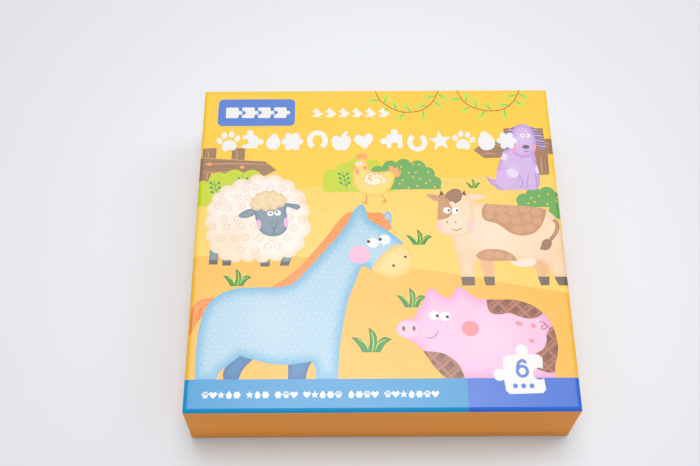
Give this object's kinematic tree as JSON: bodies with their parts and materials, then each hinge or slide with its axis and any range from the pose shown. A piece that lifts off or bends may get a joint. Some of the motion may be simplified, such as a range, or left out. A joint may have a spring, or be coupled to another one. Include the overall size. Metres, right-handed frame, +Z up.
{
  "type": "boxed jigsaw puzzle",
  "caption": "Rigid gift-style box whose printed lid covers the whole base, holding stacked wooden tray puzzles with interlocking picture pieces.",
  "frame": {"origin": "centre of the base's underside, in the plane the box stands on", "axes": "+Z up, out through the lid; +X along the longer side, to the right of the lid's picture; +Y towards the top of the picture"},
  "size_m": [0.18, 0.173, 0.045],
  "materials": {
    "greyboard": "matte",
    "orange_wrap": "satin",
    "printed_wrap": "satin",
    "white_liner": "matte",
    "plywood": "matte",
    "hen_print": "satin",
    "dog_print": "satin",
    "pig_print": "satin",
    "cow_print": "satin",
    "sheep_print": "satin",
    "horse_print": "satin"
  },
  "bodies": {
    "base": {"base_board": "greyboard", "base_wrap": "orange_wrap", "base_bottom_sheet": "orange_wrap", "base_liner": "white_liner"},
    "lid": {"lid_board": "greyboard", "lid_wrap": "printed_wrap", "lid_liner": "white_liner"},
    "hen_tray": {"hen_tray_back": "plywood", "hen_tray_frame": "plywood"},
    "hen_piece_1": {"hen_piece_1": "hen_print"},
    "hen_piece_2": {"hen_piece_2": "hen_print"},
    "hen_piece_3": {"hen_piece_3": "hen_print"},
    "hen_piece_4": {"hen_piece_4": "hen_print"},
    "hen_piece_5": {"hen_piece_5": "hen_print"},
    "hen_piece_6": {"hen_piece_6": "hen_print"},
    "dog_tray": {"dog_tray_back": "plywood", "dog_tray_frame": "plywood"},
    "dog_piece_1": {"dog_piece_1": "dog_print"},
    "dog_piece_2": {"dog_piece_2": "dog_print"},
    "dog_piece_3": {"dog_piece_3": "dog_print"},
    "dog_piece_4": {"dog_piece_4": "dog_print"},
    "dog_piece_5": {"dog_piece_5": "dog_print"},
    "dog_piece_6": {"dog_piece_6": "dog_print"},
    "pig_tray": {"pig_tray_back": "plywood", "pig_tray_frame": "plywood"},
    "pig_piece_1": {"pig_piece_1": "pig_print"},
    "pig_piece_2": {"pig_piece_2": "pig_print"},
    "pig_piece_3": {"pig_piece_3": "pig_print"},
    "pig_piece_4": {"pig_piece_4": "pig_print"},
    "pig_piece_5": {"pig_piece_5": "pig_print"},
    "pig_piece_6": {"pig_piece_6": "pig_print"},
    "cow_tray": {"cow_tray_back": "plywood", "cow_tray_frame": "plywood"},
    "cow_piece_1": {"cow_piece_1": "cow_print"},
    "cow_piece_2": {"cow_piece_2": "cow_print"},
    "cow_piece_3": {"cow_piece_3": "cow_print"},
    "cow_piece_4": {"cow_piece_4": "cow_print"},
    "cow_piece_5": {"cow_piece_5": "cow_print"},
    "cow_piece_6": {"cow_piece_6": "cow_print"},
    "sheep_tray": {"sheep_tray_back": "plywood", "sheep_tray_frame": "plywood"},
    "sheep_piece_1": {"sheep_piece_1": "sheep_print"},
    "sheep_piece_2": {"sheep_piece_2": "sheep_print"},
    "sheep_piece_3": {"sheep_piece_3": "sheep_print"},
    "sheep_piece_4": {"sheep_piece_4": "sheep_print"},
    "sheep_piece_5": {"sheep_piece_5": "sheep_print"},
    "sheep_piece_6": {"sheep_piece_6": "sheep_print"},
    "horse_tray": {"horse_tray_back": "plywood", "horse_tray_frame": "plywood"},
    "horse_piece_1": {"horse_piece_1": "horse_print"},
    "horse_piece_2": {"horse_piece_2": "horse_print"},
    "horse_piece_3": {"horse_piece_3": "horse_print"},
    "horse_piece_4": {"horse_piece_4": "horse_print"},
    "horse_piece_5": {"horse_piece_5": "horse_print"},
    "horse_piece_6": {"horse_piece_6": "horse_print"}
  },
  "joints": [
    {"name": "lid_lift", "type": "slide", "parent": "base", "child": "lid", "axis": [0, 0, 1], "range_m": [0, 0.28]},
    {"name": "hen_tray_lift", "type": "slide", "parent": "base", "child": "hen_tray", "axis": [0, 0, 1], "range_m": [0, 0.0504]},
    {"name": "hen_piece_1_lift", "type": "slide", "parent": "hen_tray", "child": "hen_piece_1", "axis": [0, 0, 1], "range_m": [0, 0.01008]},
    {"name": "hen_piece_2_lift", "type": "slide", "parent": "hen_tray", "child": "hen_piece_2", "axis": [0, 0, 1], "range_m": [0, 0.014]},
    {"name": "hen_piece_3_lift", "type": "slide", "parent": "hen_tray", "child": "hen_piece_3", "axis": [0, 0, 1], "range_m": [0, 0.01008]},
    {"name": "hen_piece_4_lift", "type": "slide", "parent": "hen_tray", "child": "hen_piece_4", "axis": [0, 0, 1], "range_m": [0, 0.014]},
    {"name": "hen_piece_5_lift", "type": "slide", "parent": "hen_tray", "child": "hen_piece_5", "axis": [0, 0, 1], "range_m": [0, 0.01008]},
    {"name": "hen_piece_6_lift", "type": "slide", "parent": "hen_tray", "child": "hen_piece_6", "axis": [0, 0, 1], "range_m": [0, 0.014]},
    {"name": "dog_tray_lift", "type": "slide", "parent": "base", "child": "dog_tray", "axis": [0, 0, 1], "range_m": [0, 0.07448]},
    {"name": "dog_piece_1_lift", "type": "slide", "parent": "dog_tray", "child": "dog_piece_1", "axis": [0, 0, 1], "range_m": [0, 0.01008]},
    {"name": "dog_piece_2_lift", "type": "slide", "parent": "dog_tray", "child": "dog_piece_2", "axis": [0, 0, 1], "range_m": [0, 0.014]},
    {"name": "dog_piece_3_lift", "type": "slide", "parent": "dog_tray", "child": "dog_piece_3", "axis": [0, 0, 1], "range_m": [0, 0.01008]},
    {"name": "dog_piece_4_lift", "type": "slide", "parent": "dog_tray", "child": "dog_piece_4", "axis": [0, 0, 1], "range_m": [0, 0.014]},
    {"name": "dog_piece_5_lift", "type": "slide", "parent": "dog_tray", "child": "dog_piece_5", "axis": [0, 0, 1], "range_m": [0, 0.01008]},
    {"name": "dog_piece_6_lift", "type": "slide", "parent": "dog_tray", "child": "dog_piece_6", "axis": [0, 0, 1], "range_m": [0, 0.014]},
    {"name": "pig_tray_lift", "type": "slide", "parent": "base", "child": "pig_tray", "axis": [0, 0, 1], "range_m": [0, 0.09856]},
    {"name": "pig_piece_1_lift", "type": "slide", "parent": "pig_tray", "child": "pig_piece_1", "axis": [0, 0, 1], "range_m": [0, 0.01008]},
    {"name": "pig_piece_2_lift", "type": "slide", "parent": "pig_tray", "child": "pig_piece_2", "axis": [0, 0, 1], "range_m": [0, 0.014]},
    {"name": "pig_piece_3_lift", "type": "slide", "parent": "pig_tray", "child": "pig_piece_3", "axis": [0, 0, 1], "range_m": [0, 0.01008]},
    {"name": "pig_piece_4_lift", "type": "slide", "parent": "pig_tray", "child": "pig_piece_4", "axis": [0, 0, 1], "range_m": [0, 0.014]},
    {"name": "pig_piece_5_lift", "type": "slide", "parent": "pig_tray", "child": "pig_piece_5", "axis": [0, 0, 1], "range_m": [0, 0.01008]},
    {"name": "pig_piece_6_lift", "type": "slide", "parent": "pig_tray", "child": "pig_piece_6", "axis": [0, 0, 1], "range_m": [0, 0.014]},
    {"name": "cow_tray_lift", "type": "slide", "parent": "base", "child": "cow_tray", "axis": [0, 0, 1], "range_m": [0, 0.12264]},
    {"name": "cow_piece_1_lift", "type": "slide", "parent": "cow_tray", "child": "cow_piece_1", "axis": [0, 0, 1], "range_m": [0, 0.01008]},
    {"name": "cow_piece_2_lift", "type": "slide", "parent": "cow_tray", "child": "cow_piece_2", "axis": [0, 0, 1], "range_m": [0, 0.014]},
    {"name": "cow_piece_3_lift", "type": "slide", "parent": "cow_tray", "child": "cow_piece_3", "axis": [0, 0, 1], "range_m": [0, 0.01008]},
    {"name": "cow_piece_4_lift", "type": "slide", "parent": "cow_tray", "child": "cow_piece_4", "axis": [0, 0, 1], "range_m": [0, 0.014]},
    {"name": "cow_piece_5_lift", "type": "slide", "parent": "cow_tray", "child": "cow_piece_5", "axis": [0, 0, 1], "range_m": [0, 0.01008]},
    {"name": "cow_piece_6_lift", "type": "slide", "parent": "cow_tray", "child": "cow_piece_6", "axis": [0, 0, 1], "range_m": [0, 0.014]},
    {"name": "sheep_tray_lift", "type": "slide", "parent": "base", "child": "sheep_tray", "axis": [0, 0, 1], "range_m": [0, 0.14672]},
    {"name": "sheep_piece_1_lift", "type": "slide", "parent": "sheep_tray", "child": "sheep_piece_1", "axis": [0, 0, 1], "range_m": [0, 0.01008]},
    {"name": "sheep_piece_2_lift", "type": "slide", "parent": "sheep_tray", "child": "sheep_piece_2", "axis": [0, 0, 1], "range_m": [0, 0.014]},
    {"name": "sheep_piece_3_lift", "type": "slide", "parent": "sheep_tray", "child": "sheep_piece_3", "axis": [0, 0, 1], "range_m": [0, 0.01008]},
    {"name": "sheep_piece_4_lift", "type": "slide", "parent": "sheep_tray", "child": "sheep_piece_4", "axis": [0, 0, 1], "range_m": [0, 0.014]},
    {"name": "sheep_piece_5_lift", "type": "slide", "parent": "sheep_tray", "child": "sheep_piece_5", "axis": [0, 0, 1], "range_m": [0, 0.01008]},
    {"name": "sheep_piece_6_lift", "type": "slide", "parent": "sheep_tray", "child": "sheep_piece_6", "axis": [0, 0, 1], "range_m": [0, 0.014]},
    {"name": "horse_tray_lift", "type": "slide", "parent": "base", "child": "horse_tray", "axis": [0, 0, 1], "range_m": [0, 0.1708]},
    {"name": "horse_piece_1_lift", "type": "slide", "parent": "horse_tray", "child": "horse_piece_1", "axis": [0, 0, 1], "range_m": [0, 0.01008]},
    {"name": "horse_piece_2_lift", "type": "slide", "parent": "horse_tray", "child": "horse_piece_2", "axis": [0, 0, 1], "range_m": [0, 0.014]},
    {"name": "horse_piece_3_lift", "type": "slide", "parent": "horse_tray", "child": "horse_piece_3", "axis": [0, 0, 1], "range_m": [0, 0.01008]},
    {"name": "horse_piece_4_lift", "type": "slide", "parent": "horse_tray", "child": "horse_piece_4", "axis": [0, 0, 1], "range_m": [0, 0.014]},
    {"name": "horse_piece_5_lift", "type": "slide", "parent": "horse_tray", "child": "horse_piece_5", "axis": [0, 0, 1], "range_m": [0, 0.01008]},
    {"name": "horse_piece_6_lift", "type": "slide", "parent": "horse_tray", "child": "horse_piece_6", "axis": [0, 0, 1], "range_m": [0, 0.014]}
  ],
  "couplings": [
    {"joint": "hen_tray_lift", "follows": "lid_lift", "ratio": 0.18},
    {"joint": "hen_piece_1_lift", "follows": "lid_lift", "ratio": 0.036},
    {"joint": "hen_piece_2_lift", "follows": "lid_lift", "ratio": 0.05},
    {"joint": "hen_piece_3_lift", "follows": "lid_lift", "ratio": 0.036},
    {"joint": "hen_piece_4_lift", "follows": "lid_lift", "ratio": 0.05},
    {"joint": "hen_piece_5_lift", "follows": "lid_lift", "ratio": 0.036},
    {"joint": "hen_piece_6_lift", "follows": "lid_lift", "ratio": 0.05},
    {"joint": "dog_tray_lift", "follows": "lid_lift", "ratio": 0.266},
    {"joint": "dog_piece_1_lift", "follows": "lid_lift", "ratio": 0.036},
    {"joint": "dog_piece_2_lift", "follows": "lid_lift", "ratio": 0.05},
    {"joint": "dog_piece_3_lift", "follows": "lid_lift", "ratio": 0.036},
    {"joint": "dog_piece_4_lift", "follows": "lid_lift", "ratio": 0.05},
    {"joint": "dog_piece_5_lift", "follows": "lid_lift", "ratio": 0.036},
    {"joint": "dog_piece_6_lift", "follows": "lid_lift", "ratio": 0.05},
    {"joint": "pig_tray_lift", "follows": "lid_lift", "ratio": 0.352},
    {"joint": "pig_piece_1_lift", "follows": "lid_lift", "ratio": 0.036},
    {"joint": "pig_piece_2_lift", "follows": "lid_lift", "ratio": 0.05},
    {"joint": "pig_piece_3_lift", "follows": "lid_lift", "ratio": 0.036},
    {"joint": "pig_piece_4_lift", "follows": "lid_lift", "ratio": 0.05},
    {"joint": "pig_piece_5_lift", "follows": "lid_lift", "ratio": 0.036},
    {"joint": "pig_piece_6_lift", "follows": "lid_lift", "ratio": 0.05},
    {"joint": "cow_tray_lift", "follows": "lid_lift", "ratio": 0.438},
    {"joint": "cow_piece_1_lift", "follows": "lid_lift", "ratio": 0.036},
    {"joint": "cow_piece_2_lift", "follows": "lid_lift", "ratio": 0.05},
    {"joint": "cow_piece_3_lift", "follows": "lid_lift", "ratio": 0.036},
    {"joint": "cow_piece_4_lift", "follows": "lid_lift", "ratio": 0.05},
    {"joint": "cow_piece_5_lift", "follows": "lid_lift", "ratio": 0.036},
    {"joint": "cow_piece_6_lift", "follows": "lid_lift", "ratio": 0.05},
    {"joint": "sheep_tray_lift", "follows": "lid_lift", "ratio": 0.524},
    {"joint": "sheep_piece_1_lift", "follows": "lid_lift", "ratio": 0.036},
    {"joint": "sheep_piece_2_lift", "follows": "lid_lift", "ratio": 0.05},
    {"joint": "sheep_piece_3_lift", "follows": "lid_lift", "ratio": 0.036},
    {"joint": "sheep_piece_4_lift", "follows": "lid_lift", "ratio": 0.05},
    {"joint": "sheep_piece_5_lift", "follows": "lid_lift", "ratio": 0.036},
    {"joint": "sheep_piece_6_lift", "follows": "lid_lift", "ratio": 0.05},
    {"joint": "horse_tray_lift", "follows": "lid_lift", "ratio": 0.61},
    {"joint": "horse_piece_1_lift", "follows": "lid_lift", "ratio": 0.036},
    {"joint": "horse_piece_2_lift", "follows": "lid_lift", "ratio": 0.05},
    {"joint": "horse_piece_3_lift", "follows": "lid_lift", "ratio": 0.036},
    {"joint": "horse_piece_4_lift", "follows": "lid_lift", "ratio": 0.05},
    {"joint": "horse_piece_5_lift", "follows": "lid_lift", "ratio": 0.036},
    {"joint": "horse_piece_6_lift", "follows": "lid_lift", "ratio": 0.05}
  ]
}
